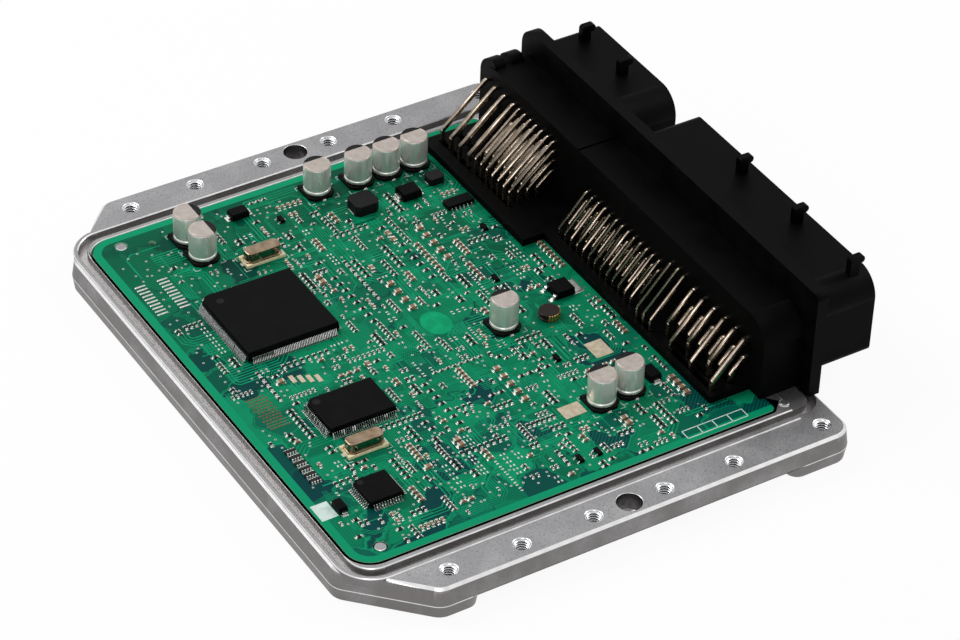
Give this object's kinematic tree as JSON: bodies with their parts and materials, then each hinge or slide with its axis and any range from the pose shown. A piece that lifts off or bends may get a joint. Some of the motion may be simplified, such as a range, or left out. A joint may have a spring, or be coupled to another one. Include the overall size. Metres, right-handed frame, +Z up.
{
  "type": "engine control unit",
  "caption": "Opened engine control unit: cast aluminium base with screw flanges, populated green circuit board and a black two-bay connector header with bent pins.",
  "frame": {"origin": "in the flat underside of the base casting, midway between the two large flange holes", "axes": "+X along the header from the small bay to the large bay, +Y out of the connector bays, +Z up out of the open base"},
  "size_m": [0.1876, 0.1706, 0.043],
  "materials": {
    "cast_aluminium": "die-cast, satin, brighter on rounded edges",
    "board_laminate": "green solder mask, semi-gloss",
    "header_plastic": "black glass-filled moulding, matte",
    "seal_rubber": "soft bead, matte",
    "tinned_pin": "tinned copper alloy, semi-bright",
    "chip_plastic": "black moulding compound, matte",
    "tinned_lead": "tinned, bright",
    "can_aluminium": "bright drawn can",
    "black_base": "black moulding, matte",
    "crystal_metal": "drawn can, semi-bright",
    "crystal_base": "cream base, matte",
    "ferrite": "dark grey, matte",
    "bare_solder": "tinned pad, satin",
    "resistor_body": "dark chip, matte",
    "capacitor_body": "tan ceramic, matte"
  },
  "bodies": {
    "root": {"base_casting": "cast_aluminium", "circuit_board": "board_laminate", "header_housing": "header_plastic", "header_seal": "seal_rubber", "locator_plate": "header_plastic", "small_bay_signal_pins": "tinned_pin", "small_bay_power_pins": "tinned_pin", "large_bay_signal_pins": "tinned_pin", "large_bay_power_pins": "tinned_pin", "processor": "chip_plastic", "processor_leads": "tinned_lead", "memory_chip": "chip_plastic", "memory_chip_leads": "tinned_lead", "driver_chip": "chip_plastic", "driver_chip_leads": "tinned_lead", "interface_chip": "chip_plastic", "interface_chip_leads": "tinned_lead", "capacitor_cans": "can_aluminium", "capacitor_bases": "black_base", "capacitor_tabs": "tinned_lead", "crystal_cans": "crystal_metal", "crystal_bases": "crystal_base", "inductors": "ferrite", "round_choke": "ferrite", "diode_bodies": "chip_plastic", "diode_ends": "tinned_lead", "regulator_body": "chip_plastic", "regulator_tab_and_legs": "tinned_lead", "transistor_bodies": "chip_plastic", "transistor_legs": "tinned_lead", "power_pads": "bare_solder", "test_pads": "bare_solder", "resistor_arrays": "resistor_body", "chip_resistors": "resistor_body", "chip_capacitors": "capacitor_body"}
  },
  "joints": []
}
